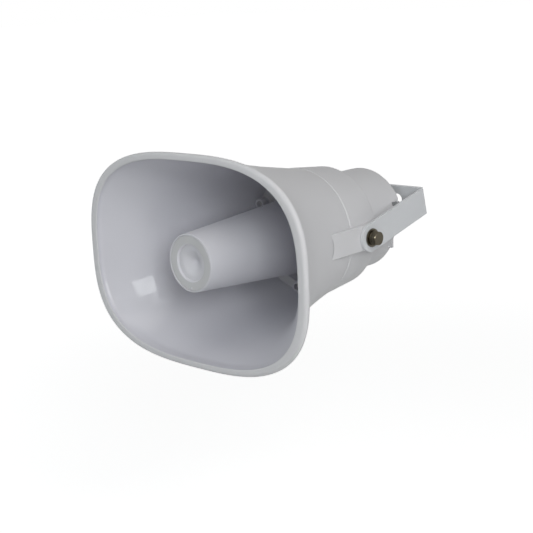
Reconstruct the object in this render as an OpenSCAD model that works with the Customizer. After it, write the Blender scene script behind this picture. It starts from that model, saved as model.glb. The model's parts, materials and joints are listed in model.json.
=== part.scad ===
// Weatherproof network horn speaker with a folded sound path and a tilting U bracket.
// The origin is the centre of the bracket's mounting face. The horn's axis runs along Y with
// its mouth towards -Y, and +Z is up. All sizes are in millimetres.
// Inside the modules the horn's own frame is used: y = 0 is the mouth and y grows to the rear.

/* [Bell] */
// Width of the mouth over the rim
mouth_w = 282; // [265:1:305]
// Height of the mouth over the rim
mouth_h = 203; // [185:1:221]
// How square the mouth is: 2 is an ellipse and higher is squarer
mouth_square = 2.92; // [2.3:0.02:3.6]
// Depth from the mouth to the shoulder that meets the collar
bell_depth = 156.2; // [148:0.2:164]
// How far the collar stands proud of the bell's neck
collar_step = 1.6; // [1:0.1:3]
// Wall of the bell
bell_wall = 3; // [2.2:0.1:3.6]
// Curve of the flare across the width, higher flares later
flare_w = 2.52; // [2.2:0.02:2.8]
// Curve of the flare across the height
flare_h = 0.71; // [0.4:0.02:1.2]
// Width of the rim's band above and below the mouth
rim_w = 6.6; // [5:0.2:9]
// Width of the rim's band at the mouth's two sides
rim_side_w = 9.4; // [7:0.2:12]
// Depth of the rolled rim
rim_d = 6.8; // [5:0.2:9]
// Thickness of the flange that carries the reflector
floor_t = 6; // [4.5:0.1:8]
// Length of the spigot that enters the collar
spigot_l = 3; // [2:0.1:5]

/* [Reflector] */
// Distance of the nose behind the mouth
nose_y = 1.1; // [0:0.1:6]
// Diameter of the reflector at its nose
nose_d = 55.4; // [52:0.2:60]
// Diameter of the reflector at its open tail
tail_d = 77; // [73:0.2:80]
// Gap between the reflector's tail and the floor of the bell
tail_gap = 9; // [7:0.2:12]
// Wall of the reflector
tube_wall = 2.5; // [2:0.1:3]
// Depth of the nose cap's seat
cap_seat = 6; // [5:0.1:8]
// Diameter of the recess in the nose cap
cap_recess_d = 35; // [31:0.2:39]
// Diameter of the funnel in the nose cap
cap_funnel_d = 20; // [16:0.2:24]
// Depth of the funnel
cap_funnel_l = 16; // [12:0.2:17]
// Angle of the first reflector leg, anticlockwise from +X
leg_a = 30; // [0:1:60]
// Thickness of a leg
leg_t = 3; // [2:0.1:4]

/* [Rear housing] */
// Diameter of the collar at its front edge
collar_d = 134; // [133:0.2:138]
// How much the collar's radius drops towards its rear edge
collar_taper = 4.2; // [2:0.1:6]
// Length of the collar up to its rounded shoulder
collar_l = 42.4; // [41:0.2:50]
// Radius of the rounded shoulder
shoulder_r = 5; // [3:0.2:5.4]
// Diameter of the can behind the collar
can_d = 105.2; // [104:0.2:108]
// Length of the can behind the shoulder
can_l = 44; // [41:0.2:48]
// How far the hood reaches past the can
hood_l = 14; // [8:0.2:15]
// Height of the hood's lower edge above the axis
hood_z = 21.5; // [18:0.5:27]
// Wall of the housing
housing_wall = 3; // [2.4:0.1:3.2]
// Thickness of the bulkhead between sound path and driver
bulkhead_t = 6; // [5.5:0.1:8]
// How far a side pad stands proud of the collar
pad_proud = 4.7; // [3:0.1:7]
// Height of a side pad
pad_h = 25.3; // [22:0.1:28]

/* [Bracket] */
// Width of the bracket's strip
strip_w = 28.6; // [26:0.2:32]
// Thickness of the strip
strip_t = 3.2; // [2.5:0.1:3.6]
// Distance from the pivot to the mounting face
arm_l = 97.2; // [95:0.2:120]
// Tilt of the bracket's arms above the horn's axis
arm_tilt = 13.5; // [0:0.5:14]
// Outer radius of the bends
bend_r = 4.2; // [3.8:0.1:8]
// Diameter of the three fixing holes
fix_d = 10.4; // [8:0.2:11]
// Distance from the middle hole to an outer hole
fix_pitch = 40.5; // [30:0.5:50]

/* [Pivots] */
// Distance from the collar's front edge to the pivot
pivot_back = 21.1; // [18:0.1:24]
// Diameter of the pivot bolts
bolt_d = 8; // [7:0.5:8]
// Width across flats of the bolt's head
bolt_af = 13.4; // [12:0.1:14]
// Height of the bolt's head
bolt_head = 5.5; // [4:0.1:7]
// Outer diameter of the flat washer
washer_d = 18.4; // [16:0.2:20]
// Thickness of the flat washer
washer_t = 1.6; // [1:0.1:2]
// Outer diameter of the spring washer
spring_d = 14.8; // [13:0.2:15.6]
// Thickness of the spring washer
spring_t = 2; // [1.6:0.1:2.4]
// Outer diameter of the threaded insert
insert_d = 12; // [11:0.2:13]

/* [Driver] */
// Magnet's diameter as a part of the driver's
magnet_ratio = 0.94; // [0.88:0.01:0.97]
// Thickness of the magnet
magnet_t = 14; // [12:0.5:16]
// Voice coil's diameter as a part of the driver's
coil_ratio = 0.46; // [0.42:0.01:0.48]
// Height of the dome
dome_h = 4.5; // [3.5:0.1:4.8]
// Thickness of the front and rear steel plates
plate_t = 5; // [4:0.5:6]
// Diameter of the throat at the driver
throat_d = 18; // [14:0.5:22]

/* [Electronics] */
// Room between the network board and the can's wall
board_room = 11.6; // [10:0.2:15]
// Distance of the board behind the can's front edge
board_back = 12; // [11:0.5:14]
// Thickness of the rear cover
cover_t = 3.5; // [3:0.1:4.5]
// Distance of the cover behind the can's rim
cover_in = 4; // [3:0.1:5]
// Drop of the cable gland below the axis
gland_drop = 19; // [16:0.5:21]
// Diameter of the gland's thread
gland_d = 16; // [14:0.5:17]
// Diameter of the cable that the gland takes
cable_d = 6.2; // [5:0.1:7]

/* [Hidden] */
// running clearance between the pivot bolt and the bracket's hole
run_c = 0.08;
// side clearance between the bracket's arm and what it turns against
side_c = 0.3;
// clearance of a screw in a plain hole, and of a part in its seat
screw_c = 0.2;
seat_c = 0.2;
// clearance between the pad's tongue and the bell
tongue_c = 0.6;

mouth_a = mouth_w/2;
mouth_b = mouth_h/2;
neck_r = collar_d/2 - collar_step;
flare_l = bell_depth + 7;
ring_n = 80;
// depth at which the bell's flare meets the bowl behind it, and steps of the loft on each side
split_y = 72;
flare_steps = 6;
bowl_steps = 6;
rim_round = 0.47*rim_d;
rim_lip = 1;
rim_edge = 0.2;
gasket_t = 0.8;

collar_r = collar_d/2;
collar_rear_r = collar_r - collar_taper;
lip_step = 0.6;
lip_r = collar_r - housing_wall - lip_step;
spigot_r = lip_r - seat_c;
spigot_w = 13.7;
spigot_in = spigot_r - spigot_w;
bulkhead_y = bell_depth + spigot_l + gasket_t;
driver_y = bulkhead_y + bulkhead_t;
ridge_y = bell_depth + collar_l;
can_y = ridge_y + shoulder_r;
rim_y = can_y + can_l;
hood_y = rim_y + hood_l;
can_r = can_d/2;
can_in = can_r - housing_wall;
pad_x = collar_r + pad_proud;
pivot_y = bell_depth + pivot_back;

floor_y = bell_depth - floor_t;
tail_y = floor_y - tail_gap;
floor_w = 3.5;
floor_in = spigot_in - floor_w;
leg_n = 3;
pad_l = 92.4;
leg_screw_d = 3.5;
leg_boss_r = 5;
leg_r = spigot_in + leg_boss_r;
leg_boss_l = 10;
leg_head_r = 3.3;
leg_head_t = 2.4;
leg_foot_t = 4;
leg_grip = 4.2;
leg_reach = 12;
leg_screw_l = leg_foot_t + floor_t + spigot_l + gasket_t + bulkhead_t + leg_grip;
leg_core_d = 3;
housing_boss_l = 10;

tube_nose_r = nose_d/2;
tube_tail_r = tail_d/2;
inner_tube_wall = 2;
inner_mouth_r = 16.5;
inner_mouth_y = nose_y + 26;
throat_r = throat_d/2;
throat_flange_t = 3.4;

frame_room = 1.5;
frame_r = leg_r - leg_boss_r - frame_room;
frame_in = 0.646*frame_r;
opening_step = 3;
opening_r = frame_in + opening_step;
frame_flange_t = 4;
frame_sleeve_t = 3;
coil_r = coil_ratio*frame_r;
coil_t = 0.8;
coil_gap = 0.6;
dome_rs = (coil_r*coil_r + dome_h*dome_h)/(2*dome_h);
coil_room = 2;
film_t = 0.6;
film_gap = 0.8;
magnet_r = magnet_ratio*frame_r;
magnet_room = 5;
plate_step = 3;
plate_r = magnet_r - plate_step;
gap_room = 7;
plate_y = driver_y + gap_room;
magnet_y = plate_y + plate_t;
yoke_y = magnet_y + magnet_t;
driver_screw_r = 0.833*frame_r;
driver_screw_d = 3;
driver_grip = 4;
driver_screw_l = frame_flange_t + driver_grip;
driver_head_r = 2.8;
driver_head_t = 2;

cover_y = rim_y - cover_in - cover_t;
ledge_t = 3;
ledge_y = cover_y - gasket_t - ledge_t;
ledge_in = can_in - 3;
cover_screw_d = 3.5;
cover_boss_r = 4.6;
cover_screw_r = can_in - cover_boss_r + screw_c*2;
cover_grip = 7.7;
cover_screw_l = cover_t + gasket_t + cover_grip;
cover_boss_l = 14;
lug_t = 3.5;
lug_w = 10;
cover_head_r = 3.2;
cover_head_t = 2.2;
board_y = can_y + board_back;
board_t = 1.6;
board_r = can_in - board_room;
post_r = 3;
post_at = board_r - 7;
post_n = 4;
board_screw_d = 2.4;
board_screw_l = 8;
board_head_r = 2.6;
board_head_t = 1.8;
board_hole_d = 3.2;
jack_w = 16;
jack_h = 13.4;
jack_l = 15;
jack_wall = 2;
chip_w = 0.316*board_r;
chip_t = 1.6;
power_h = 7;
cap_d = 0.21*board_r;
cap_l = 13;
fin_n = 5;
fin_pitch = 4;
fin_t = 1.4;
fin_h = 9;
sink_l = 0.37*board_r;
sink_z = 0.42*board_r;

gland_flange_t = 4;
gland_seat_t = 0.8;
gland_neck_l = 5;
gland_af = 19;
nut_t = 9.5;
locknut_t = 4;

arm_in = pad_x + side_c;
arm_out = arm_in + strip_t;
washer_x = arm_out + side_c;
spring_x = washer_x + washer_t;
head_x = spring_x + spring_t;
insert_l = 12;
bore_n = 96;

// centre of the mounting face, seen from the pivot
face_dy = arm_l*cos(arm_tilt);
face_dz = arm_l*sin(arm_tilt);

// Frames

module horn_frame() {
    translate([0, -pivot_y - face_dy, -face_dz]) children();
}

// turns what was drawn along +Z to lie along +Y of the horn
module along_y(y = 0) {
    translate([0, y, 0]) rotate([-90, 0, 0]) children();
}

// solid of revolution about the horn's axis from points [radius, y]
module turned(points) {
    along_y() rotate_extrude($fn = bore_n) polygon(points);
}

// copies at equal steps round the horn's axis, on a circle of radius r at depth y
module around(count, r, first = 0, y = 0) {
    for (i = [0:count - 1])
        let (w = first + 360*i/count)
            translate([r*cos(w), y, r*sin(w)]) children();
}

// the right side and its mirror image
module both_sides() {
    children();
    mirror([1, 0, 0]) children();
}

module disc(r, t, hole = 0, fn = bore_n) {
    difference() {
        cylinder(r = r, h = t, $fn = fn);
        if (hole > 0) translate([0, 0, -1]) cylinder(r = hole, h = t + 2, $fn = bore_n);
    }
}

function arc(cx, cy, r, a0, a1, n) = [
    for (i = [0:n])
        let (w = a0 + (a1 - a0)*i/n)
            [cx + r*cos(w), cy + r*sin(w)]
];

// Bell: a loft of superellipses that becomes round at the neck

function flare(t, k) = (exp(k*t) - 1)/(exp(k) - 1);
function flare_slope(t, k) = k*exp(k*t)/(exp(k) - 1);
function bell_t(y) = 1 - y/flare_l;
function bell_a(y) = neck_r + (mouth_a - neck_r)*flare(bell_t(y), flare_w);
function bell_b(y) = neck_r + (mouth_b - neck_r)*flare(bell_t(y), flare_h);
function bell_n(y) = 2 + (mouth_square - 2)*bell_t(y);
function thick_a(y) = bell_wall*norm([1, (mouth_a - neck_r)/flare_l*flare_slope(bell_t(y), flare_w)]);
function thick_b(y) = bell_wall*norm([1, (mouth_b - neck_r)/flare_l*flare_slope(bell_t(y), flare_h)]);

// a station is [y, half width, half height, squareness]
function outer_station(y) = [y, bell_a(y), bell_b(y), bell_n(y)];
function inner_station(y) = [
    y,
    min(bell_a(y) - thick_a(y), mouth_a - rim_side_w),
    min(bell_b(y) - thick_b(y), mouth_b - rim_w),
    bell_n(y)
];
function rim_station(y, inset) = [y, mouth_a - inset, mouth_b - inset, mouth_square];
function lip_station(y, inset) = [y, mouth_a - rim_side_w + inset, mouth_b - rim_w + inset, mouth_square];
// the rolled edge meets the back of the flare without dipping under it
function back_station(y, inset) = [
    y,
    max(mouth_a - inset, bell_a(rim_d) + rim_edge),
    max(mouth_b - inset, bell_b(rim_d) + rim_edge),
    mouth_square
];
function round_station(y, r) = [y, r, r, 2];

// stations crowd towards the mouth, where the flare is steepest
function flare_y(i, y0) = y0 + (split_y - y0)*pow(i/flare_steps, 1.25);
function bowl_y(i, y1) = split_y + (y1 - split_y)*i/bowl_steps;

function ring(s) = [
    for (i = [0:ring_n - 1])
        let (w = 360*i/ring_n, c = abs(cos(w)), q = abs(sin(w)),
             r = pow(pow(c/s[1], s[3]) + pow(q/s[2], s[3]), -1/s[3]))
            [r*cos(w), s[0], r*sin(w)]
];

// closes a list of stations into a solid whose section is the loop of stations
module lofted_loop(stations) {
    m = len(stations);
    points = [for (s = stations) each ring(s)];
    faces = [
        for (j = [0:m - 1], i = [0:ring_n - 1])
            let (a = j*ring_n + i, b = j*ring_n + (i + 1)%ring_n,
                 c = ((j + 1)%m)*ring_n + (i + 1)%ring_n, d = ((j + 1)%m)*ring_n + i)
                each [[a, c, b], [a, d, c]]
    ];
    polyhedron(points, faces, convexity = 6);
}

// front of the bell, with the rolled rim
module bell() {
    color("whitesmoke") lofted_loop(concat(
        [for (i = [0:flare_steps]) inner_station(flare_y(flare_steps - i, rim_lip))],
        [lip_station(0.3*rim_lip, 0.3*rim_lip), lip_station(0, rim_lip)],
        [for (w = [90:-22.5:0]) rim_station(rim_round*(1 - sin(w)), rim_round*(1 - cos(w)))],
        [for (w = [0:22.5:90]) back_station(rim_d - rim_round*(1 - sin(w)), rim_round*(1 - cos(w)))],
        [for (i = [0:flare_steps]) outer_station(flare_y(i, rim_d))]
    ));
}

// rear of the bell, with its floor and the spigot that seats in the collar
module bell_bowl() {
    color("whitesmoke") difference() {
        lofted_loop(concat(
            [for (i = [0:bowl_steps]) inner_station(bowl_y(bowl_steps - i, floor_y))],
            [for (i = [0:bowl_steps]) outer_station(bowl_y(i, bell_depth))],
            [round_station(bell_depth, spigot_r), round_station(bell_depth + spigot_l, spigot_r)],
            [round_station(bell_depth + spigot_l, spigot_in), round_station(bell_depth - 0.4, spigot_in)],
            [round_station(bell_depth - 0.4, floor_in), round_station(floor_y, floor_in)]
        ));
        around(leg_n, leg_r, leg_a, floor_y - 1)
            along_y() cylinder(d = leg_screw_d + 2*screw_c, h = floor_t + spigot_l + 2, $fn = 32);
    }
}

module bell_gasket() {
    color("dimgray") difference() {
        along_y(bell_depth + spigot_l) disc(spigot_r, gasket_t, spigot_in);
        around(leg_n, leg_r, leg_a, bell_depth + spigot_l - 1)
            along_y() cylinder(d = leg_screw_d + 2*screw_c, h = gasket_t + 2, $fn = 32);
    }
}

// Reflector: the tapered tube that stands in the bell on three screwed legs

function tube_r(y) = tube_nose_r + (tube_tail_r - tube_nose_r)*(y - nose_y)/(tail_y - nose_y);

module reflector_leg() {
    difference() {
        union() {
            // web from the tube to the boss, its front edge sloping outwards
            translate([0, 0, -leg_t/2]) linear_extrude(leg_t) polygon([
                [tube_r(tail_y - leg_reach) - 1, tail_y - leg_reach],
                [leg_r, floor_y - leg_boss_l],
                [leg_r, floor_y],
                [tube_tail_r - tube_wall/2, floor_y],
                [tube_tail_r - tube_wall/2, tail_y - 3]
            ]);
            translate([leg_r, floor_y - leg_boss_l, 0])
                along_y() cylinder(r = leg_boss_r, h = leg_boss_l, $fn = 48);
        }
        translate([leg_r, floor_y - leg_boss_l - 1, 0]) along_y() {
            cylinder(d = leg_screw_d + 2*screw_c, h = leg_boss_l + 2, $fn = 32);
            cylinder(r = leg_head_r + screw_c, h = leg_boss_l + 1 - leg_foot_t, $fn = 32);
        }
    }
}

module reflector() {
    color("gainsboro") {
        turned([
            [tube_nose_r - 0.4, nose_y], [tube_nose_r, nose_y + 0.6],
            [tube_tail_r, tail_y], [tube_tail_r - tube_wall, tail_y],
            [tube_r(nose_y + cap_seat + 2) - tube_wall, nose_y + cap_seat + 2],
            [tube_nose_r - tube_wall - 2, nose_y + cap_seat + 2],
            [tube_nose_r - tube_wall - 2, nose_y + cap_seat],
            [tube_nose_r - tube_wall, nose_y + cap_seat],
            [tube_nose_r - tube_wall, nose_y]
        ]);
        for (i = [0:leg_n - 1]) rotate([0, -leg_a - 360*i/leg_n, 0]) reflector_leg();
    }
}

// The cap closes the nose. Its funnel is the back of the cone that turns the sound round.
module nose_cap() {
    cap_r = tube_nose_r - tube_wall - seat_c/2;
    face_y = nose_y + 0.8;
    recess_r = cap_recess_d/2;
    funnel_r = cap_funnel_d/2;
    dish_y = face_y + 2.4;
    skin = 1.8;
    tip_y = dish_y + 1 + cap_funnel_l;
    // the funnel's wall is a trumpet curve from its mouth to the tip
    trumpet = [
        for (i = [0:7])
            let (w = 90*i/7)
                [1 + (funnel_r - 1)*(1 - sin(w)), dish_y + 1 + cap_funnel_l*(1 - cos(w))]
    ];
    color("gainsboro") turned(concat(
        [[cap_r, face_y], [recess_r + 0.6, face_y], [recess_r, face_y + 0.5], [recess_r, dish_y - 0.8]],
        [[recess_r - 1.4, dish_y - 0.8], [recess_r - 1.4, dish_y]],
        trumpet,
        [[0, tip_y], [0, tip_y + skin]],
        [for (i = [7:-1:0]) trumpet[i] + [skin*0.8, skin*0.9]],
        [[recess_r, dish_y + 2.6], [cap_r - 2, nose_y + cap_seat], [cap_r, nose_y + cap_seat]]
    ));
}

// Inner horn: carries the sound forward from the driver to the nose
module throat_tube() {
    flange_y = bulkhead_y - throat_flange_t;
    r_rear = throat_r + 0.5;
    color("whitesmoke") turned([
        [throat_r, bulkhead_y],
        [spigot_in - seat_c - 0.4, bulkhead_y], [spigot_in - seat_c - 0.4, flange_y],
        [r_rear + inner_tube_wall + 4, flange_y], [r_rear + inner_tube_wall, flange_y - 4],
        [inner_mouth_r + inner_tube_wall, inner_mouth_y + 2],
        [inner_mouth_r + inner_tube_wall - 0.6, inner_mouth_y],
        [inner_mouth_r, inner_mouth_y], [r_rear, flange_y - 4], [throat_r, flange_y]
    ]);
}

// Rear housing: collar, side pads, and the can with its rain hood

module pad_section() {
    chamfer = 0.8;
    inner = neck_r - 3*housing_wall;
    polygon([
        [inner, -pad_h/2], [pad_x - chamfer, -pad_h/2], [pad_x, -pad_h/2 + chamfer],
        [pad_x, pad_h/2 - chamfer], [pad_x - chamfer, pad_h/2], [inner, pad_h/2]
    ]);
}

// space that the bell needs under the pads' tongues
module bell_clearance() {
    steps = 12;
    y0 = can_y - pad_l - 5;
    turned(concat(
        [[0, y0], [bell_a(y0) + tongue_c, y0]],
        [for (i = [1:steps]) let (y = y0 + (bell_depth - y0)*i/steps) [bell_a(y) + tongue_c, y]],
        [[0, bell_depth]]
    ));
}

// cuts the can's rim back below the hood and rounds the hood's two lower corners
module hood_cut() {
    corner_r = 5;
    translate([-can_d, 0, 0]) rotate([90, 0, 90]) linear_extrude(2*can_d) {
        translate([rim_y, -can_d]) square([2*hood_l, can_d + hood_z]);
        difference() {
            translate([hood_y - corner_r, hood_z - 1]) square([corner_r + 1, corner_r + 1]);
            translate([hood_y - corner_r, hood_z + corner_r]) circle(r = corner_r, $fn = 48);
        }
    }
}

// outside of the collar, with the short seat that the can stands on
module collar_outside() {
    edge = 0.8;
    turned(concat(
        [[0, bell_depth], [collar_r - edge/2, bell_depth], [collar_r, bell_depth + edge]],
        arc(collar_rear_r - shoulder_r, ridge_y, shoulder_r, 0, 90, 6),
        [[0, can_y]]
    ));
    turned([[0, ridge_y - shoulder_r], [can_r, ridge_y - shoulder_r], [can_r, can_y], [0, can_y]]);
}

// outside of the can, with a small lug low on each side of its rim
module can_outside() {
    edge = 0.8;
    turned([
        [0, can_y], [can_r + edge, can_y], [can_r, can_y + edge],
        [can_r, hood_y - edge], [can_r - edge, hood_y],
        [0, hood_y]
    ]);
    both_sides() translate([can_r - 4*housing_wall, rim_y - lug_t, -can_r/2])
        cube([3*housing_wall, lug_t, lug_w]);
}

// seat of the bell, sound opening, driver room and the can's bore with its ledge
module housing_inside() {
    turned([[0, bell_depth - 1], [lip_r, bell_depth - 1], [lip_r, bulkhead_y], [0, bulkhead_y]]);
    turned([
        [0, bulkhead_y - 1], [opening_r, bulkhead_y - 1],
        [opening_r, driver_y + 1], [0, driver_y + 1]
    ]);
    turned([
        [0, driver_y], [collar_r - housing_wall - 2*lip_step, driver_y],
        [collar_rear_r - housing_wall, ridge_y - 1],
        [collar_rear_r - shoulder_r - 1, can_y - housing_wall], [0, can_y - housing_wall]
    ]);
    turned([
        [0, can_y - housing_wall - 1], [can_in, can_y - housing_wall - 1],
        [can_in, ledge_y - ledge_t], [ledge_in, ledge_y],
        [ledge_in, ledge_y + ledge_t], [can_in, ledge_y + ledge_t], [can_in, hood_y + 1], [0, hood_y + 1]
    ]);
}

module insert_bores() {
    both_sides() translate([pad_x - insert_l, pivot_y, 0]) rotate([0, 90, 0])
        cylinder(d = insert_d + 0.1, h = insert_l + 1, $fn = 64);
}

// collar with its bulkhead, the pockets of the threaded inserts and the bosses for the screws
module rear_housing() {
    pocket_wall = 3;
    color("whitesmoke") difference() {
        union() {
            difference() {
                collar_outside();
                housing_inside();
            }
            intersection() {
                collar_outside();
                both_sides() translate([pad_x - insert_l - 2, pivot_y, 0]) rotate([0, 90, 0])
                    cylinder(r = insert_d/2 + pocket_wall, h = insert_l + 1, $fn = 64);
            }
            around(leg_n, leg_r, leg_a, driver_y - 1)
                along_y() cylinder(r = leg_boss_r, h = housing_boss_l + 1, $fn = 48);
        }
        insert_bores();
        around(leg_n, leg_r, leg_a, bulkhead_y - 1)
            along_y() cylinder(d = leg_core_d, h = bulkhead_t + housing_boss_l, $fn = 32);
        around(4, driver_screw_r, 45, driver_y - driver_grip - 1)
            along_y() cylinder(d = driver_screw_d - 0.5, h = driver_grip + 2, $fn = 32);
    }
}

// pads that carry the pivots, with tongues that reach forward over the bell
module side_pads() {
    color("whitesmoke") difference() {
        both_sides()
            translate([0, can_y - pad_l, 0])
                rotate([-90, 0, 0]) linear_extrude(pad_l) pad_section();
        bell_clearance();
        collar_outside();
        insert_bores();
    }
}

// can with its rain hood and the bosses of the cover's screws
module rear_can() {
    color("whitesmoke") difference() {
        union() {
            difference() {
                can_outside();
                housing_inside();
            }
            around(4, cover_screw_r, 45, ledge_y + ledge_t - cover_boss_l)
                along_y() cylinder(r = cover_boss_r, h = cover_boss_l, $fn = 48);
        }
        hood_cut();
        around(4, cover_screw_r, 45, ledge_y + ledge_t - cover_grip - 3)
            along_y() cylinder(d = cover_screw_d - 0.5, h = cover_grip + 4, $fn = 32);
    }
}

module rear_cover() {
    color("gainsboro") difference() {
        union() {
            along_y(cover_y) disc(can_in - seat_c, cover_t);
            around(post_n, post_at, 45, board_y + board_t)
                along_y() cylinder(r = post_r, h = cover_y - board_y - board_t, $fn = 32);
            // raised seat for the gland
            translate([0, 0, -gland_drop])
                along_y(cover_y) cylinder(r = gland_af/2 + 3, h = cover_t + gland_seat_t, $fn = 64);
        }
        around(4, cover_screw_r, 45, cover_y - 1)
            along_y() cylinder(d = cover_screw_d + 2*screw_c, h = cover_t + 2, $fn = 32);
        translate([0, 0, -gland_drop]) along_y(cover_y - 1)
            cylinder(d = gland_d + 2*seat_c, h = cover_t + 3, $fn = 64);
        around(post_n, post_at, 45, board_y)
            along_y() cylinder(d = board_screw_d + 0.1, h = board_screw_l + 2, $fn = 32);
    }
}

module cover_gasket() {
    color("dimgray") difference() {
        along_y(cover_y - gasket_t) disc(can_in - seat_c, gasket_t, can_in - 2*cover_boss_r);
        around(4, cover_screw_r, 45, cover_y - gasket_t - 1)
            along_y() cylinder(d = cover_screw_d + 2*screw_c, h = gasket_t + 2, $fn = 32);
    }
}

// Driver, from the throat to the yoke

function dome_y(r) = driver_y - (sqrt(dome_rs*dome_rs - r*r) - dome_rs + dome_h);

module throat_plate() {
    color("silver") turned(concat(
        [[throat_r, bulkhead_y], [opening_r - seat_c, bulkhead_y]],
        [[opening_r - seat_c, driver_y], [coil_r + 1, driver_y]],
        [for (i = [6:-1:0]) let (r = throat_r + (coil_r - throat_r)*i/6) [r, dome_y(r) - film_gap]]
    ));
}

module diaphragm() {
    flange_r = frame_in - seat_c;
    color("peru") turned(concat(
        [for (i = [0:6]) let (r = coil_r*i/6) [r, dome_y(r)]],
        [[flange_r, driver_y], [flange_r, driver_y + film_t], [coil_r, driver_y + film_t]],
        [for (i = [5:-1:0]) let (r = (coil_r - film_t)*i/6) [r, dome_y(r) + film_t]]
    ));
}

module spacer_ring() {
    color("goldenrod")
        along_y(driver_y + film_t)
            disc(frame_in - seat_c, plate_y - driver_y - film_t, coil_r + coil_gap + coil_room);
}

module voice_coil() {
    color("chocolate")
        along_y(driver_y + film_t) disc(coil_r, plate_y + plate_t - driver_y, coil_r - coil_t);
}

module driver_frame() {
    sleeve_l = plate_y + plate_t - driver_y - frame_flange_t;
    color("dimgray") difference() {
        union() {
            along_y(driver_y) disc(frame_r, frame_flange_t, frame_in);
            along_y(driver_y + frame_flange_t) disc(plate_r + frame_sleeve_t, sleeve_l, plate_r + seat_c);
        }
        around(4, driver_screw_r, 45, driver_y - 1)
            along_y() cylinder(d = driver_screw_d + 2*screw_c, h = frame_flange_t + 2, $fn = 32);
        // room for the screw heads inside the sleeve
        around(4, driver_screw_r, 45, driver_y + frame_flange_t)
            along_y() cylinder(r = driver_head_r + 2*screw_c, h = driver_head_t + 4*screw_c, $fn = 32);
    }
}

module top_plate() {
    color("slategray") along_y(plate_y) disc(plate_r, plate_t, coil_r + coil_gap);
}

module magnet() {
    color("darkslategray") along_y(magnet_y) disc(magnet_r, magnet_t, coil_r + magnet_room);
}

module pole_yoke() {
    pole_r = coil_r - coil_t - coil_gap;
    color("slategray") turned([
        [0, plate_y], [pole_r - 0.6, plate_y], [pole_r, plate_y + 0.6], [pole_r, yoke_y],
        [plate_r, yoke_y], [plate_r, yoke_y + plate_t - 1],
        [plate_r - 1, yoke_y + plate_t], [0, yoke_y + plate_t]
    ]);
}

// Network board on posts of the rear cover

module network_board() {
    color("darkgreen") difference() {
        along_y(board_y) disc(board_r, board_t);
        around(post_n, post_at, 45, board_y - 1)
            along_y() cylinder(d = board_hole_d, h = board_t + 2, $fn = 32);
    }
}

// the socket opens towards the rear, in line with the gland
module network_jack() {
    color("silver") translate([-jack_w/2, board_y + board_t, -gland_drop - jack_h/2 + 2]) difference() {
        cube([jack_w, jack_l, jack_h]);
        translate([jack_wall, jack_wall + 1, jack_wall])
            cube([jack_w - 2*jack_wall, jack_l, jack_h - 2.5*jack_wall]);
        translate([jack_w/2 - 3, jack_wall + 1, jack_h - 1.6*jack_wall]) cube([6, jack_l, jack_wall/2]);
    }
}

module board_parts() {
    top = board_y + board_t;
    color("black") {
        translate([-2*chip_w, top, chip_w/3]) cube([chip_w, chip_t, chip_w]);
        translate([0.8*chip_w, top, chip_w/2]) cube([0.75*chip_w, chip_t, 0.75*chip_w]);
        translate([-2.2*chip_w, top, -chip_w]) cube([0.9*chip_w, power_h, 0.85*chip_w]);
    }
    color("navy") for (x = [1.2*chip_w, 2*chip_w])
        translate([x, top, -0.75*chip_w]) along_y() cylinder(d = cap_d, h = cap_l, $fn = 32);
}

module heat_sink() {
    w = (fin_n - 1)*fin_pitch + fin_t;
    color("silver") translate([-w/2, board_y + board_t, sink_z]) {
        cube([w, fin_t + 0.6, sink_l]);
        for (i = [0:fin_n - 1]) translate([i*fin_pitch, fin_t, 0]) cube([fin_t, fin_h, sink_l]);
    }
}

// Cable gland

module gland_frame() {
    translate([0, cover_y + cover_t + gland_seat_t, -gland_drop]) rotate([-90, 0, 0]) children();
}

module gland_body() {
    neck_l = gland_flange_t + gland_neck_l;
    color("darkgray") gland_frame() difference() {
        union() {
            cylinder(d = gland_af/cos(30), h = gland_flange_t, $fn = 6);
            translate([0, 0, -cover_t - locknut_t - 2])
                cylinder(d = gland_d, h = cover_t + locknut_t + 3, $fn = 64);
            cylinder(d = gland_d - 1, h = neck_l, $fn = 64);
        }
        translate([0, 0, -cover_t - locknut_t - 3])
            cylinder(d = cable_d + 2, h = cover_t + locknut_t + 6, $fn = 64);
        translate([0, 0, 2]) cylinder(d = cable_d + 5, h = neck_l, $fn = 64);
    }
}

module gland_seal() {
    color("black") gland_frame()
        translate([0, 0, 2])
            disc((cable_d + 5)/2 - 0.05, gland_flange_t + gland_neck_l, cable_d/2, 64);
}

module gland_nut() {
    color("darkgray") gland_frame() translate([0, 0, gland_flange_t + 0.2]) difference() {
        union() {
            cylinder(d = gland_af/cos(30), h = nut_t - 4, $fn = 6);
            translate([0, 0, nut_t - 4]) cylinder(d1 = gland_af, d2 = cable_d + 6, h = 4, $fn = 64);
        }
        translate([0, 0, -1]) cylinder(d = gland_d - 1 + 2*seat_c, h = 6.2, $fn = 64);
        translate([0, 0, -1]) cylinder(d = cable_d + 5 + 2*seat_c, h = nut_t - 0.6, $fn = 64);
        translate([0, 0, -1]) cylinder(d = cable_d + 1, h = nut_t + 2, $fn = 64);
    }
}

module gland_locknut() {
    color("darkgray") gland_frame() translate([0, 0, -cover_t - gland_seat_t - locknut_t])
        disc(gland_af/cos(30)/2, locknut_t, gland_d/2 + 0.05, 6);
}

// Bracket: one folded strip, drawn from the pivot with its arms along +Y

module u_outline(half, end, r) {
    translate([-half, -strip_w]) square([2*half, strip_w + end - r]);
    translate([-half + r, 0]) square([2*(half - r), end]);
    for (s = [-1, 1]) translate([s*(half - r), end - r]) circle(r = r, $fn = 64);
}

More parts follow.
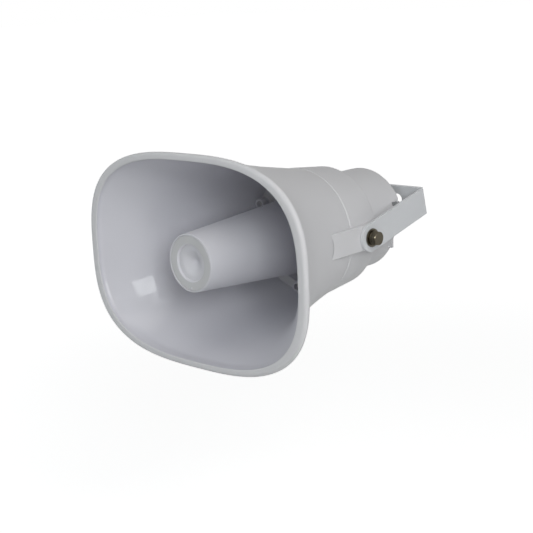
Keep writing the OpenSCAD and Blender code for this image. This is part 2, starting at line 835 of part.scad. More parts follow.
module bracket() {
    color("white") translate([0, pivot_y, 0]) rotate([arm_tilt, 0, 0]) difference() {
        intersection() {
            translate([0, 0, -strip_w/2]) linear_extrude(strip_w) difference() {
                u_outline(arm_out, arm_l, bend_r);
                u_outline(arm_in, arm_l - strip_t, bend_r - strip_t);
            }
            // side view: round ends at the pivots
            translate([-arm_out - 1, 0, 0]) rotate([90, 0, 90]) linear_extrude(2*arm_out + 2) {
                circle(d = strip_w, $fn = 96);
                translate([0, -strip_w/2]) square([arm_l + 1, strip_w]);
            }
        }
        translate([-arm_out - 1, 0, 0]) rotate([0, 90, 0])
            cylinder(r = bolt_d/2 + run_c, h = 2*arm_out + 2, $fn = 64);
        for (x = [-fix_pitch, 0, fix_pitch]) translate([x, arm_l - strip_t - 1, 0]) along_y()
            cylinder(d = fix_d, h = strip_t + 2, $fn = 64);
    }
}

// Pivot fasteners, drawn on the right side

module at_pivot(x) {
    translate([x, pivot_y, 0]) rotate([0, 90, 0]) children();
}

module pivot_bolt() {
    shank_x = pad_x - insert_l + 1;
    color("darkolivegreen") at_pivot(head_x) intersection() {
        rotate(15) cylinder(d = bolt_af/cos(30), h = bolt_head, $fn = 6);
        // the chamfer that rounds the head's corners
        cylinder(d1 = bolt_af/cos(30) + 6, d2 = bolt_af - 0.4, h = bolt_head, $fn = 64);
    }
    color("darkolivegreen") at_pivot(shank_x) cylinder(d = bolt_d, h = head_x - shank_x + 0.5, $fn = 64);
}

module pivot_bolt_right() {
    pivot_bolt();
}

module pivot_bolt_left() {
    mirror([1, 0, 0]) pivot_bolt();
}

module flat_washers() {
    color("dimgray") both_sides() at_pivot(washer_x) disc(washer_d/2, washer_t, bolt_d/2 + 0.3);
}

module spring_washers() {
    split = 1.4;
    color("dimgray") both_sides() at_pivot(spring_x) difference() {
        disc(spring_d/2, spring_t, bolt_d/2 + 0.3);
        rotate(40) translate([0, -split/2, -1]) cube([spring_d, split, spring_t + 2]);
    }
}

module pivot_inserts() {
    color("goldenrod") both_sides() at_pivot(pad_x - insert_l) disc(insert_d/2, insert_l, bolt_d/2 + 0.05);
}

// Small screws, each node a group

module pan_screw(d, head_r, head_t, l) {
    translate([0, 0, -head_t]) difference() {
        cylinder(r = head_r, h = head_t, $fn = 32);
        for (w = [0, 90]) rotate(w)
            translate([-head_r*0.6, -0.4, -1]) cube([head_r*1.2, 0.8, 1 + head_t/2]);
    }
    translate([0, 0, -0.1]) cylinder(d = d, h = l + 0.1, $fn = 32);
}

module reflector_screws() {
    color("silver") around(leg_n, leg_r, leg_a, floor_y - leg_foot_t) along_y()
        pan_screw(leg_core_d - 0.1, leg_head_r, leg_head_t, leg_screw_l);
}

module driver_screws() {
    color("silver") around(4, driver_screw_r, 45, driver_y + frame_flange_t) mirror([0, 1, 0]) along_y()
        pan_screw(driver_screw_d - 0.6, driver_head_r, driver_head_t, driver_screw_l);
}

module cover_screws() {
    color("silver") around(4, cover_screw_r, 45, cover_y + cover_t) mirror([0, 1, 0]) along_y()
        pan_screw(cover_screw_d - 0.6, cover_head_r, cover_head_t, cover_screw_l);
}

module board_screws() {
    color("silver") around(post_n, post_at, 45, board_y) along_y()
        pan_screw(board_screw_d, board_head_r, board_head_t, board_screw_l);
}

horn_frame() bell();
horn_frame() bell_bowl();
horn_frame() reflector();
horn_frame() nose_cap();
horn_frame() throat_tube();
horn_frame() bell_gasket();
horn_frame() rear_housing();
horn_frame() side_pads();
horn_frame() rear_can();
horn_frame() rear_cover();
horn_frame() cover_gasket();
horn_frame() throat_plate();
horn_frame() diaphragm();
horn_frame() spacer_ring();
horn_frame() voice_coil();
horn_frame() driver_frame();
horn_frame() top_plate();
horn_frame() magnet();
horn_frame() pole_yoke();
horn_frame() network_board();
horn_frame() network_jack();
horn_frame() board_parts();
horn_frame() heat_sink();
horn_frame() gland_body();
horn_frame() gland_seal();
horn_frame() gland_nut();
horn_frame() gland_locknut();
horn_frame() bracket();
horn_frame() pivot_bolt_right();
horn_frame() pivot_bolt_left();
horn_frame() flat_washers();
horn_frame() spring_washers();
horn_frame() pivot_inserts();
horn_frame() reflector_screws();
horn_frame() driver_screws();
horn_frame() cover_screws();
horn_frame() board_screws();
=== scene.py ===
# Dressed model of a weatherproof network horn speaker in its tilting bracket.
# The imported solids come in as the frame. The moulded bell, the folded bracket and the pivot
# hardware are made again here with softer edges; everything else only gets its finish.
import json
import math

import bmesh
import bpy
from mathutils import Matrix, Vector


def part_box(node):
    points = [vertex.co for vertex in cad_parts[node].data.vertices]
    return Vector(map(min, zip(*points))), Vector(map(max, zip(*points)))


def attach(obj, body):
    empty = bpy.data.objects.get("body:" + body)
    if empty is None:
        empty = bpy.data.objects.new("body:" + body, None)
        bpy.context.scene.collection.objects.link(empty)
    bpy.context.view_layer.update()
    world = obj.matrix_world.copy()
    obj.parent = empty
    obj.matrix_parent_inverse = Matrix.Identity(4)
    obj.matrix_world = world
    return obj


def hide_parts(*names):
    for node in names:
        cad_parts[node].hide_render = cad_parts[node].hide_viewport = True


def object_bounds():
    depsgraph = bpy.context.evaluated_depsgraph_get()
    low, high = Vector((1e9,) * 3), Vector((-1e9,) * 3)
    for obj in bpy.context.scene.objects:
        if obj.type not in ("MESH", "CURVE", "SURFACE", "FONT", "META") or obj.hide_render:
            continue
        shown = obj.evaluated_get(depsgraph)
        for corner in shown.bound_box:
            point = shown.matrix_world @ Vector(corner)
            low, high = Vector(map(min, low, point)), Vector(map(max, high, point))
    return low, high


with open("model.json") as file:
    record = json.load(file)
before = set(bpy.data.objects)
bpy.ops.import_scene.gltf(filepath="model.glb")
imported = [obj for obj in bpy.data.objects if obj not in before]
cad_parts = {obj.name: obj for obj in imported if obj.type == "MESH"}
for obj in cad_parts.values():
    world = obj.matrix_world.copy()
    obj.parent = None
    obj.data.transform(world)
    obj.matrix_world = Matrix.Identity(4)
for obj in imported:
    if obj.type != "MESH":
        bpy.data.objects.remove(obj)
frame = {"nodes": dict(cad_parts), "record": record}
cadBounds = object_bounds()
print("frame loaded:", len(frame["nodes"]), "solids")

mm = 0.001
bellLow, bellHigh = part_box("bell")
horn = {
    "mouthY": bellLow.y,
    "axisZ": (bellLow.z + bellHigh.z) / 2,
    "halfWidth": bellHigh.x,
    "halfHeight": (bellHigh.z - bellLow.z) / 2,
}


# camera, matched to the photograph
cameraSetup = {
    "place": (0.75273, -0.97574, 0.21472),
    "turn": (76.669, 2.467, 42.386),
    "lens": 77.52,
    "sensor": 36,
}


def makeCamera(setup):
    data = bpy.data.cameras.new("camera")
    data.lens = setup["lens"]
    data.sensor_width = setup["sensor"]
    cam = bpy.data.objects.new("camera", data)
    cam.location = setup["place"]
    cam.rotation_euler = [math.radians(a) for a in setup["turn"]]
    bpy.context.collection.objects.link(cam)
    bpy.context.scene.camera = cam
    return cam


camera = makeCamera(cameraSetup)
print("camera placed")


# shader groups

def startGroup(name, inputs, outputs):
    group = bpy.data.node_groups.new(name, "ShaderNodeTree")
    for label, kind, value in inputs:
        socket = group.interface.new_socket(name=label, in_out="INPUT", socket_type=kind)
        socket.default_value = value
    for label, kind in outputs:
        group.interface.new_socket(name=label, in_out="OUTPUT", socket_type=kind)
    return group, group.nodes.new("NodeGroupInput"), group.nodes.new("NodeGroupOutput")


def mathNode(tree, operation, a, b=None):
    node = tree.nodes.new("ShaderNodeMath")
    node.operation = operation
    for socket, value in ((node.inputs[0], a), (node.inputs[1], b)):
        if value is None:
            continue
        if isinstance(value, (int, float)):
            socket.default_value = value
        else:
            tree.links.new(value, socket)
    return node.outputs[0]


def makeSkinGroup():
    # faint clouding of colour and gloss, and the fine texture of a mould or of powder coat
    group, start, end = startGroup(
        "moulded skin",
        [
            ("Colour", "NodeSocketColor", (0.5, 0.5, 0.5, 1)),
            ("Clouding", "NodeSocketFloat", 0.03),
            ("Gloss roughness", "NodeSocketFloat", 0.4),
            ("Gloss spread", "NodeSocketFloat", 0.05),
            ("Grain scale", "NodeSocketFloat", 900),
        ],
        [("Colour", "NodeSocketColor"), ("Roughness", "NodeSocketFloat"), ("Height", "NodeSocketFloat")],
    )
    nodes, links = group.nodes, group.links
    coords = nodes.new("ShaderNodeTexCoord")
    cloud = nodes.new("ShaderNodeTexNoise")
    cloud.inputs["Scale"].default_value = 14
    cloud.inputs["Detail"].default_value = 3
    grain = nodes.new("ShaderNodeTexNoise")
    grain.inputs["Detail"].default_value = 2
    links.new(coords.outputs["Object"], cloud.inputs["Vector"])
    links.new(coords.outputs["Object"], grain.inputs["Vector"])
    links.new(start.outputs["Grain scale"], grain.inputs["Scale"])
    centred = mathNode(group, "SUBTRACT", cloud.outputs["Fac"], 0.5)
    shade = mathNode(group, "MULTIPLY", centred, start.outputs["Clouding"])
    shade = mathNode(group, "ADD", shade, 1.0)
    tint = nodes.new("ShaderNodeVectorMath")
    tint.operation = "SCALE"
    links.new(start.outputs["Colour"], tint.inputs[0])
    links.new(shade, tint.inputs["Scale"])
    links.new(tint.outputs["Vector"], end.inputs["Colour"])
    spread = mathNode(group, "MULTIPLY", centred, start.outputs["Gloss spread"])
    links.new(mathNode(group, "ADD", start.outputs["Gloss roughness"], spread), end.inputs["Roughness"])
    links.new(grain.outputs["Fac"], end.inputs["Height"])
    return group


skinGroup = makeSkinGroup()


def newMaterial(name):
    material = bpy.data.materials.new(name)
    material.use_nodes = True
    nodes = material.node_tree.nodes
    nodes.clear()
    shader = nodes.new("ShaderNodeBsdfPrincipled")
    output = nodes.new("ShaderNodeOutputMaterial")
    material.node_tree.links.new(shader.outputs[0], output.inputs["Surface"])
    return material, shader


def skinMaterial(name, colour, roughness, clouding=0.03, spread=0.08, grain=900, bump=0.05, metallic=0.0, coat=0.0,
                 coatRoughness=0.1, specular=0.5):
    material, shader = newMaterial(name)
    tree = material.node_tree
    skin = tree.nodes.new("ShaderNodeGroup")
    skin.node_tree = skinGroup
    skin.inputs["Colour"].default_value = (*colour, 1)
    skin.inputs["Clouding"].default_value = clouding
    skin.inputs["Gloss roughness"].default_value = roughness
    skin.inputs["Gloss spread"].default_value = spread
    skin.inputs["Grain scale"].default_value = grain
    relief = tree.nodes.new("ShaderNodeBump")
    relief.inputs["Strength"].default_value = bump
    relief.inputs["Distance"].default_value = 0.0004
    tree.links.new(skin.outputs["Colour"], shader.inputs["Base Color"])
    tree.links.new(skin.outputs["Roughness"], shader.inputs["Roughness"])
    tree.links.new(skin.outputs["Height"], relief.inputs["Height"])
    tree.links.new(relief.outputs["Normal"], shader.inputs["Normal"])
    shader.inputs["Metallic"].default_value = metallic
    shader.inputs["Specular IOR Level"].default_value = specular
    shader.inputs["Coat Weight"].default_value = coat
    shader.inputs["Coat Roughness"].default_value = coatRoughness
    return material


finishes = {
    "shell_plastic": skinMaterial("shell plastic", (0.63, 0.625, 0.64), 0.55, bump=0.02, specular=0.22),
    "reflector_plastic": skinMaterial("reflector plastic", (0.61, 0.605, 0.64), 0.45, bump=0.02, specular=0.35),
    "tube_plastic": skinMaterial("tube plastic", (0.58, 0.58, 0.6), 0.5, bump=0.02, specular=0.35),
    "bracket_paint": skinMaterial("bracket powder coat", (0.62, 0.63, 0.65), 0.45, grain=1600, bump=0.12,
                                  spread=0.1, specular=0.4),
    "fastener_steel": skinMaterial("fastener steel", (0.085, 0.075, 0.055), 0.24, clouding=0.5, spread=0.2,
                                   grain=500, bump=0.05, metallic=1.0),
    "screw_steel": skinMaterial("screw steel", (0.55, 0.55, 0.54), 0.3, metallic=1.0),
    "seal_rubber": skinMaterial("seal rubber", (0.02, 0.02, 0.02), 0.7),
    "insert_brass": skinMaterial("insert brass", (0.62, 0.45, 0.18), 0.32, metallic=1.0),
    "driver_steel": skinMaterial("driver steel", (0.45, 0.45, 0.46), 0.35, metallic=1.0),
    "driver_alloy": skinMaterial("driver alloy", (0.62, 0.62, 0.63), 0.45, metallic=1.0),
    "frame_plastic": skinMaterial("frame plastic", (0.03, 0.03, 0.032), 0.5),
    "magnet_ferrite": skinMaterial("magnet ferrite", (0.035, 0.035, 0.037), 0.6, clouding=0.3),
    "dome_film": skinMaterial("dome film", (0.36, 0.22, 0.09), 0.3),
    "coil_wire": skinMaterial("coil wire", (0.42, 0.16, 0.06), 0.35, metallic=1.0),
    "board_laminate": skinMaterial("board laminate", (0.01, 0.08, 0.03), 0.3, coat=0.4),
    "board_black": skinMaterial("component black", (0.015, 0.015, 0.016), 0.45),
    "gland_plastic": skinMaterial("gland nylon", (0.42, 0.43, 0.45), 0.5),
}
# the inside of the bell comes glossy out of the mould, the outside has a fine matte texture; the inside is also
# coloured darker and bluer than the outside, which is painted shade of the deep bell
glossShadedWall = skinMaterial("glossy bell wall with painted shade", (0.60, 0.595, 0.64), 0.46, bump=0.015, specular=0.35, coat=0.35,
                         coatRoughness=0.04)
matteFace = skinMaterial("matte nose face", (0.55, 0.55, 0.56), 0.75, bump=0.05, specular=0.2)
print("materials made:", len(finishes) + 2)


# CAD nodes take the finish of their material slot

def dressNodes():
    for part in frame["record"]["subparts"]:
        mesh = frame["nodes"][part["node"]].data
        mesh.materials.clear()
        mesh.materials.append(finishes[part["material_slot"]])


dressNodes()


def keepPiece(name, bm, slotName, body, replaced=()):
    mesh = bpy.data.meshes.new(name)
    bm.to_mesh(mesh)
    bm.free()
    mesh.materials.append(finishes[slotName])
    piece = bpy.data.objects.new(name, mesh)
    bpy.context.collection.objects.link(piece)
    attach(piece, body)
    if replaced:
        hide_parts(*replaced)
    print("piece made:", name, len(mesh.polygons), "faces")
    return piece


# bell

bellShape = {
    "depth": 156.2 * mm,
    "neckRadius": 65.4 * mm,
    "wall": 3.0 * mm,
    "mouthSquare": 2.92,
    "curveWidth": 2.52,
    "curveHeight": 0.71,
    "flareLength": 163.2 * mm,
    "rimTop": 6.6 * mm,
    "rimSide": 9.4 * mm,
    "rimDepth": 6.8 * mm,
    "rimRound": 3.196 * mm,
    "rimEdge": 0.2 * mm,
    "lip": 1.0 * mm,
    "floor": 157.2 * mm,
    "footWidth": 60.4 * mm,
    "thickenFrom": 140 * mm,
    "floorRadius": 46.0 * mm,
    "spigotRadius": 63.2 * mm,
    "spigot": 3.0 * mm,
    "around": 192,
    "along": 44,
    "roundSteps": 7,
}


def flare(t, curve):
    return (math.exp(curve * t) - 1) / (math.exp(curve) - 1)


def flareSlope(t, curve):
    return curve * math.exp(curve * t) / (math.exp(curve) - 1)


def outerRing(depth, shape=bellShape):
    t = 1 - depth / shape["flareLength"]
    wide = shape["neckRadius"] + (horn["halfWidth"] - shape["neckRadius"]) * flare(t, shape["curveWidth"])
    high = shape["neckRadius"] + (horn["halfHeight"] - shape["neckRadius"]) * flare(t, shape["curveHeight"])
    return depth, wide, high, 2 + (shape["mouthSquare"] - 2) * t


def innerRing(depth, shape=bellShape):
    _, wide, high, square = outerRing(depth)
    t = 1 - depth / shape["flareLength"]
    slopeWide = (horn["halfWidth"] - shape["neckRadius"]) / shape["flareLength"] * flareSlope(t, shape["curveWidth"])
    slopeHigh = (horn["halfHeight"] - shape["neckRadius"]) / shape["flareLength"] * flareSlope(t, shape["curveHeight"])
    wide = min(wide - shape["wall"] * math.hypot(1, slopeWide), horn["halfWidth"] - shape["rimSide"])
    high = min(high - shape["wall"] * math.hypot(1, slopeHigh), horn["halfHeight"] - shape["rimTop"])
    # the wall thickens towards the floor, where the spigot begins
    foot = max(0, (depth - shape["thickenFrom"]) / (shape["floor"] - shape["thickenFrom"])) ** 1.5
    wide += (shape["footWidth"] - wide) * foot
    high += (shape["footWidth"] - high) * foot
    return depth, wide, high, square


def quarterTurn(steps):
    return [math.pi / 2 * i / steps for i in range(steps + 1)]


def rimRings(shape=bellShape):
    # from the inner lip over the flat front and the rolled edge to the back of the rim
    wide, high, square = horn["halfWidth"], horn["halfHeight"], shape["mouthSquare"]
    lip, edge, steps = shape["lip"], shape["rimRound"], shape["roundSteps"]
    _, backWide, backHigh, _ = outerRing(shape["rimDepth"])
    rings = []
    for a in quarterTurn(4)[1:]:
        out = lip * (1 - math.cos(a))
        rings.append((lip * (1 - math.sin(a)), wide - shape["rimSide"] + out, high - shape["rimTop"] + out, square))
    for a in quarterTurn(steps):
        inset = edge * (1 - math.sin(a))
        rings.append((edge * (1 - math.cos(a)), wide - inset, high - inset, square))
    for a in quarterTurn(steps):
        inset = edge * (1 - math.cos(a))
        rings.append((
            shape["rimDepth"] - edge * (1 - math.sin(a)),
            max(wide - inset, backWide + shape["rimEdge"]),
            max(high - inset, backHigh + shape["rimEdge"]),
            square,
        ))
    return rings


def bellRings(shape=bellShape):
    floorY = shape["floor"]
    spacing = [(i / shape["along"]) ** 1.25 for i in range(shape["along"] + 1)]
    inside = [innerRing(shape["lip"] + (floorY - shape["lip"]) * s) for s in reversed(spacing)]
    outside = [outerRing(shape["rimDepth"] + (shape["depth"] - shape["rimDepth"]) * s) for s in spacing]
    neck = [
        (shape["depth"], shape["spigotRadius"]), (shape["depth"] + shape["spigot"], shape["spigotRadius"]),
        (shape["depth"] + shape["spigot"], shape["floorRadius"]), (floorY, shape["floorRadius"]),
    ]
    return inside + rimRings() + outside + [(y, r, r, 2) for y, r in neck]


def placeRing(verts, ring):
    depth, wide, high, square = ring
    for v in verts:
        angle = math.atan2(v.co.z, v.co.x)
        c, s = abs(math.cos(angle)), abs(math.sin(angle))
        reach = ((c / wide) ** square + (s / high) ** square) ** (-1 / square)
        v.co = Vector((reach * math.cos(angle), depth, reach * math.sin(angle)))


def makeBell(shape=bellShape):
    bm = bmesh.new()
    rings = bellRings()
    bmesh.ops.create_circle(bm, radius=0.1, segments=shape["around"])
    bmesh.ops.rotate(bm, verts=bm.verts, matrix=Matrix.Rotation(math.pi / 2, 3, "X"))
    placeRing(bm.verts, rings[0])
    firstEdges = list(bm.edges)
    edges = firstEdges
    for ring in rings[1:]:
        grown = bmesh.ops.extrude_edge_only(bm, edges=edges)["geom"]
        placeRing([g for g in grown if isinstance(g, bmesh.types.BMVert)], ring)
        edges = [g for g in grown if isinstance(g, bmesh.types.BMEdge)]
    bmesh.ops.bridge_loops(bm, edges=firstEdges + edges)
    bmesh.ops.translate(bm, verts=bm.verts, vec=(0, horn["mouthY"], horn["axisZ"]))
    bmesh.ops.recalc_face_normals(bm, faces=bm.faces)
    for face in bm.faces:
        face.smooth = True
        middle = face.calc_center_median() - Vector((0, 0, horn["axisZ"]))
        inward = middle.x * face.normal.x + middle.z * face.normal.z < 0
        face.material_index = 1 if inward and middle.y > horn["mouthY"] + shape["lip"] else 0
    for edge in bm.edges:
        edge.smooth = edge.calc_face_angle(0) < math.radians(40)
    piece = keepPiece("hornBell", bm, "shell_plastic", "horn", ["bell", "bell_bowl"])
    # inner faces take the glossy wall, whose darker, bluer colour is painted shade
    piece.data.materials.append(glossShadedWall)
    return piece


makeBell()


# reflector, its nose cap and its screws

reflectorShape = {
    "nose": 1.1 * mm,
    "noseRadius": 27.7 * mm,
    "noseRound": 0.9 * mm,
    "tail": 141.2 * mm,
    "tailRadius": 38.5 * mm,
    "wall": 2.5 * mm,
    "capSeat": 6 * mm,
    "rebate": 1.0 * mm,
    "rebateDepth": 2.0 * mm,
    "around": 128,
}
legShape = {
    "angles": (30, 150, 270),
    "radius": 54.5 * mm,
    "bossRadius": 5.6 * mm,
    "bossFront": 147.6 * mm,
    "headRoom": 3.6 * mm,
    "screwHole": 1.95 * mm,
    "foot": 2.2 * mm,
    "webThick": 2.6 * mm,
    "webReach": 9 * mm,
    "around": 40,
}


def addLathe(bm, profile, around):
    # closed section of (radius, depth) turned round the horn's axis
    corners = [bm.verts.new((r, y, 0)) for r, y in profile]
    edges = [bm.edges.new((a, b)) for a, b in zip(corners, corners[1:] + corners[:1])]
    turned = bmesh.ops.spin(bm, geom=corners + edges, cent=(0, 0, 0), axis=(0, 1, 0), angle=2 * math.pi,
                            steps=around, use_merge=True)
    return corners + [g for g in turned["geom_last"] if isinstance(g, bmesh.types.BMVert)]


def makeLathe(profile, around):
    bm = bmesh.new()
    addLathe(bm, profile, around)
    bmesh.ops.remove_doubles(bm, verts=bm.verts, dist=0.001 * mm)
    return bm


def joinInto(bm, part, matrix):
    # adds a finished small mesh to a larger one, in its own place
    bmesh.ops.transform(part, matrix=matrix, verts=part.verts)
    mesh = bpy.data.meshes.new("part")
    part.to_mesh(mesh)
    part.free()
    bm.from_mesh(mesh)
    bpy.data.meshes.remove(mesh)


def shadeByAngle(bm, limit=35):
    bmesh.ops.recalc_face_normals(bm, faces=bm.faces)
    for face in bm.faces:
        face.smooth = True
    for edge in bm.edges:
        edge.smooth = edge.calc_face_angle(0) < math.radians(limit)


def turnArc(radius, depth, size, start, stop, steps):
    # points of a rounded corner, angles from the outward direction towards the rear
    return [(radius + size * math.cos(math.radians(start + (stop - start) * i / steps)),
             depth + size * math.sin(math.radians(start + (stop - start) * i / steps))) for i in range(steps + 1)]


def makeReflector(shape=reflectorShape, leg=legShape, bell=bellShape):
    nose, wall, edge = shape["nose"], shape["wall"], shape["noseRound"]
    inside = shape["noseRadius"] - wall
    seat = nose + shape["capSeat"]
    slope = (shape["tailRadius"] - shape["noseRadius"]) / (shape["tail"] - nose)
    profile = turnArc(shape["noseRadius"] - edge, nose + edge, edge, -90, 0, 5) + [
        (shape["tailRadius"] - 0.4 * mm, shape["tail"] - 0.4 * mm), (shape["tailRadius"] - 0.8 * mm, shape["tail"]),
        (shape["tailRadius"] - wall, shape["tail"]), (inside + slope * (seat + 2 * mm), seat + 2 * mm),
        (inside - 2 * mm, seat + 2 * mm), (inside - 2 * mm, seat), (inside, seat),
        (inside, nose + shape["rebateDepth"]), (inside + shape["rebate"], nose + shape["rebateDepth"]),
        (inside + shape["rebate"], nose + 0.3 * mm), (inside + shape["rebate"] + 0.3 * mm, nose),
    ]
    bm = makeLathe(profile, shape["around"])
    floorY = bell["floor"]
    boss = [
        (leg["screwHole"], floorY), (leg["screwHole"], floorY - leg["foot"]), (leg["headRoom"], floorY - leg["foot"]),
        (leg["headRoom"], leg["bossFront"] + 0.3 * mm), (leg["headRoom"] + 0.3 * mm, leg["bossFront"]),
        (leg["bossRadius"] - 0.5 * mm, leg["bossFront"]), (leg["bossRadius"], leg["bossFront"] + 0.5 * mm),
        (leg["bossRadius"], floorY),
    ]
    tubeSide = shape["tailRadius"] - wall / 2
    web = [
        (shape["tailRadius"] - slope * leg["webReach"] - 1 * mm, shape["tail"] - leg["webReach"]),
        (leg["radius"] - leg["bossRadius"] + 0.5 * mm, leg["bossFront"] + 1 * mm),
        (leg["radius"] - leg["bossRadius"] + 0.5 * mm, floorY), (tubeSide, floorY),
        (tubeSide, shape["tail"] - 3 * mm),
    ]
    for angle in leg["angles"]:
        turn = Matrix.Rotation(math.radians(-angle), 4, "Y")
        joinInto(bm, makeLathe(boss, leg["around"]), turn @ Matrix.Translation((leg["radius"], 0, 0)))
        plate = bmesh.new()
        side = plate.faces.new([plate.verts.new((r, y, -leg["webThick"] / 2)) for r, y in web])
        grown = bmesh.ops.extrude_face_region(plate, geom=[side])["geom"]
        bmesh.ops.translate(plate, verts=[g for g in grown if isinstance(g, bmesh.types.BMVert)],
                            vec=(0, 0, leg["webThick"]))
        bmesh.ops.bevel(plate, geom=list(plate.edges), offset=0.3 * mm, offset_type="OFFSET", segments=2,
                        profile=0.5, affect="EDGES", clamp_overlap=True, material=-1)
        joinInto(bm, plate, turn)
    bmesh.ops.translate(bm, verts=bm.verts, vec=(0, horn["mouthY"], horn["axisZ"]))
    shadeByAngle(bm)
    return keepPiece("reflectorTube", bm, "reflector_plastic", "horn", ["reflector"])


capShape = {
    "face": 1.5 * mm,
    "radius": 25.0 * mm,
    "flange": 1.0 * mm,
    "flangeBack": 3.0 * mm,
    "back": 7.1 * mm,
    "recess": 17.5 * mm,
    "recessDepth": 2.5 * mm,
    "coneRadius": 11.6 * mm,
    "coneDepth": 9.4 * mm,
    "skin": 1.8 * mm,
    "around": 128,
}


def makeNoseCap(shape=capShape):
    face, recess = shape["face"], shape["recess"]
    dish = face + shape["recessDepth"]
    tip = dish + shape["coneDepth"]
    cone, skin = shape["coneRadius"], shape["skin"]
    rim = shape["radius"] + shape["flange"]
    front = [(rim, face + 0.3 * mm), (rim - 0.3 * mm, face)]
    front += [(recess + 0.8 * mm, face)] + turnArc(recess + 0.8 * mm, face + 0.8 * mm, 0.8 * mm, -90, -180, 4)[1:]
    front += [(recess, dish - 0.9 * mm)] + turnArc(recess - 0.9 * mm, dish - 0.9 * mm, 0.9 * mm, 0, 90, 4)[1:]
    # shallow dish that rolls over into the cone
    roll = [(cone + 2.2 * mm, dish), (cone + 1.1 * mm, dish + 0.12 * mm), (cone, dish + 0.55 * mm),
            (cone - 1.1 * mm, dish + 1.2 * mm), (7.8 * mm, dish + 2.95 * mm), (5.2 * mm, dish + 4.75 * mm),
            (2.6 * mm, dish + 6.9 * mm)]
    rear = [(0, tip), (0, tip + skin), (cone, dish + skin + 0.6 * mm), (recess, dish + skin),
            (shape["radius"] - 2 * mm, shape["back"]), (shape["radius"], shape["back"]),
            (shape["radius"], shape["flangeBack"]), (rim, shape["flangeBack"])]
    bm = makeLathe(front + roll + rear, shape["around"])
    # nib left where the mould was filled
    nib = bmesh.new()
    bmesh.ops.create_uvsphere(nib, u_segments=16, v_segments=10, radius=1.0 * mm)
    joinInto(bm, nib, Matrix.Translation((0, face, -shape["radius"] + 1.0 * mm)))
    bmesh.ops.translate(bm, verts=bm.verts, vec=(0, horn["mouthY"], horn["axisZ"]))
    shadeByAngle(bm)
    for f in bm.faces:
        f.material_index = 1 if abs(f.calc_center_median().y - horn["mouthY"] - face) < 0.02 * mm else 0
    piece = keepPiece("reflectorCap", bm, "reflector_plastic", "horn", ["nose_cap"])
    piece.data.materials.append(matteFace)
    return piece


def makeLegScrews():
    # heads on the feet of the legs, points where they were
    bm = bmesh.new()
    bm.from_mesh(frame["nodes"]["reflector_screws"].data)
    bmesh.ops.remove_doubles(bm, verts=bm.verts, dist=0.002 * mm)
    low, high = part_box("reflector_screws")
    deeper = bellShape["floor"] - 150.2 * mm + 4 * mm - legShape["foot"]
    heads = [v for v in bm.verts if v.co.y < (low.y + high.y) / 2]
    bmesh.ops.translate(bm, verts=heads, vec=(0, deeper, 0))
    shadeByAngle(bm, 30)
    return keepPiece("legScrews", bm, "screw_steel", "horn", ["reflector_screws"])


makeReflector()
makeNoseCap()
makeLegScrews()


# pieces of the frame with softened edges

softEdges = {
    "bracket": {"width": 0.5 * mm, "segments": 2, "body": "bracket", "slot": "bracket_paint"},
    "flat_washers": {"width": 0.2 * mm, "segments": 2, "body": "horn", "slot": "fastener_steel"},
    "spring_washers": {"width": 0.25 * mm, "segments": 2, "body": "horn", "slot": "fastener_steel"},
    "pivot_bolt_right": {"width": 0.25 * mm, "segments": 2, "body": "horn", "slot": "fastener_steel"},
    "pivot_bolt_left": {"width": 0.25 * mm, "segments": 2, "body": "horn", "slot": "fastener_steel"},
}


def makeSoftCopy(node, look):
    bm = bmesh.new()
    bm.from_mesh(frame["nodes"][node].data)
    bmesh.ops.remove_doubles(bm, verts=bm.verts, dist=0.002 * mm)
    bmesh.ops.dissolve_limit(bm, angle_limit=math.radians(0.5), verts=bm.verts, edges=bm.edges)
    sharp = [e for e in bm.edges if len(e.link_faces) == 2 and e.calc_face_angle(0) > math.radians(35)]
    bmesh.ops.bevel(bm, geom=sharp, offset=look["width"], offset_type="OFFSET", segments=look["segments"],
                    profile=0.5, affect="EDGES", clamp_overlap=True, material=-1)
    for face in bm.faces:
        face.smooth = True
    piece = keepPiece(node + "Soft", bm, look["slot"], look["body"], [node])
    # flat faces keep their own normals beside the narrow rounded edges
    weighted = piece.modifiers.new("flat faces first", "WEIGHTED_NORMAL")
    weighted.keep_sharp = True
    return piece


for nodeName, look in softEdges.items():
    makeSoftCopy(nodeName, look)


# floor, backdrop and lights

stageSetup = {"floorDrop": 0.32, "floorSize": 60, "floorColour": (0.86, 0.86, 0.86), "paperNear": 0.78}


def paperRays(tree):
    # rays that should see plain white paper: straight from the camera, or by way of gloss or glass
    path = tree.nodes.new("ShaderNodeLightPath")
    seen = mathNode(tree, "MAXIMUM", path.outputs["Is Camera Ray"], path.outputs["Is Glossy Ray"])
    return mathNode(tree, "MAXIMUM", seen, path.outputs["Is Transmission Ray"])


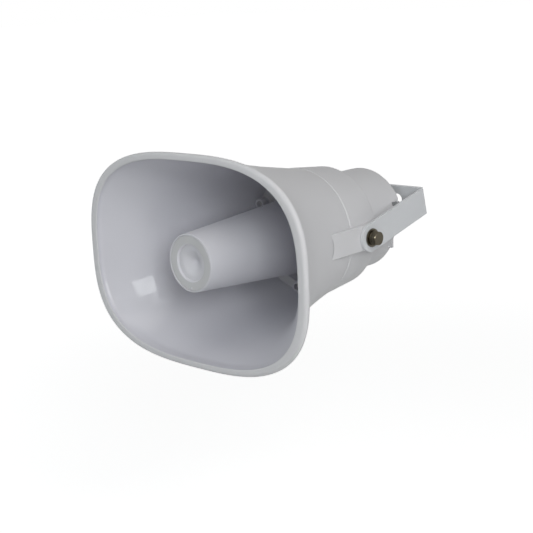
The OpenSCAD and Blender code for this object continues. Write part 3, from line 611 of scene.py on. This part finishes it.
def makeStage(setup):
    low = cadBounds[0].z - setup["floorDrop"]
    bm = bmesh.new()
    bmesh.ops.create_grid(bm, x_segments=1, y_segments=1, size=setup["floorSize"] / 2)
    bmesh.ops.translate(bm, verts=bm.verts, vec=(0, 0, low))
    mesh = bpy.data.meshes.new("floor")
    bm.to_mesh(mesh)
    bm.free()
    material, matte = newMaterial("floor")
    tree = material.node_tree
    matte.inputs["Base Color"].default_value = (*setup["floorColour"], 1)
    matte.inputs["Roughness"].default_value = 0.9
    matte.inputs["Specular IOR Level"].default_value = 0.0
    # lit paper that clips to white where no shadow falls on it
    paper = tree.nodes.new("ShaderNodeBsdfPrincipled")
    paper.inputs["Base Color"].default_value = (0.6, 0.6, 0.6, 1)
    paper.inputs["Roughness"].default_value = 1.0
    paper.inputs["Specular IOR Level"].default_value = 0.0
    paper.inputs["Emission Color"].default_value = (1, 1, 1, 1)
    # the lamps fade with distance, so the paper's own white takes over there
    coords = tree.nodes.new("ShaderNodeTexCoord")
    away = tree.nodes.new("ShaderNodeVectorMath")
    away.operation = "LENGTH"
    tree.links.new(coords.outputs["Object"], away.inputs[0])
    fade = tree.nodes.new("ShaderNodeMapRange")
    fade.interpolation_type = "SMOOTHSTEP"
    for label, value in (("From Min", 0.5), ("From Max", 2.2), ("To Min", setup["paperNear"]), ("To Max", 1.0)):
        fade.inputs[label].default_value = value
    tree.links.new(away.outputs["Value"], fade.inputs["Value"])
    tree.links.new(fade.outputs["Result"], paper.inputs["Emission Strength"])
    mix = tree.nodes.new("ShaderNodeMixShader")
    output = next(n for n in tree.nodes if n.type == "OUTPUT_MATERIAL")
    tree.links.new(paperRays(tree), mix.inputs[0])
    tree.links.new(matte.outputs[0], mix.inputs[1])
    tree.links.new(paper.outputs[0], mix.inputs[2])
    tree.links.new(mix.outputs[0], output.inputs["Surface"])
    mesh.materials.append(material)
    floor = bpy.data.objects.new("floor", mesh)
    bpy.context.collection.objects.link(floor)
    return floor


def makeWorld():
    world = bpy.data.worlds.new("studio")
    bpy.context.scene.world = world
    world.use_nodes = True
    tree = world.node_tree
    tree.nodes.clear()
    soft = tree.nodes.new("ShaderNodeBackground")
    soft.inputs["Color"].default_value = (1, 1, 1, 1)
    soft.inputs["Strength"].default_value = 0.05
    paper = tree.nodes.new("ShaderNodeBackground")
    paper.inputs["Color"].default_value = (1, 1, 1, 1)
    paper.inputs["Strength"].default_value = 1.0
    mix = tree.nodes.new("ShaderNodeMixShader")
    output = tree.nodes.new("ShaderNodeOutputWorld")
    tree.links.new(paperRays(tree), mix.inputs[0])
    tree.links.new(soft.outputs[0], mix.inputs[1])
    tree.links.new(paper.outputs[0], mix.inputs[2])
    tree.links.new(mix.outputs[0], output.inputs["Surface"])


# soft boxes round the horn; turn is measured from the camera's side, anticlockwise from above
lamps = {
    "window": {"turn": 8, "rise": 16, "width": 0.48, "height": 0.62, "power": 8.5, "tint": (0.96, 1.0, 1.0)},
    "key": {"turn": 32, "rise": 32, "width": 1.3, "height": 1.1, "power": 13, "tint": (1.0, 1.0, 1.0)},
    "left": {"turn": -85, "rise": 20, "width": 0.9, "height": 0.9, "power": 6, "tint": (0.9, 0.97, 1.0)},
    "high": {"turn": -30, "rise": 62, "width": 0.9, "height": 0.9, "power": 4, "tint": (1.0, 0.99, 0.95)},
}
lampReach = 1.7
lampAim = Vector((0, -0.12, 0))


def makeLamp(name, look):
    # a soft box turned towards its aim
    data = bpy.data.lights.new(name, "AREA")
    data.shape = "RECTANGLE"
    data.energy = look["power"]
    data.color = look["tint"]
    data.size = look["width"]
    data.size_y = look["height"]
    lamp = bpy.data.objects.new(name, data)
    camSide = math.atan2(camera.location.y + 0.1, camera.location.x)
    turn, rise = camSide + math.radians(look["turn"]), math.radians(look["rise"])
    away = Vector((math.cos(turn) * math.cos(rise), math.sin(turn) * math.cos(rise), math.sin(rise)))
    lamp.location = lampAim + lampReach * away
    lamp.rotation_euler = away.to_track_quat("Z", "Y").to_euler()
    bpy.context.collection.objects.link(lamp)


makeStage(stageSetup)
makeWorld()
for lampName, lampLook in lamps.items():
    makeLamp(lampName, lampLook)

scene = bpy.context.scene
scene.view_settings.view_transform = "Standard"
print("stage set")
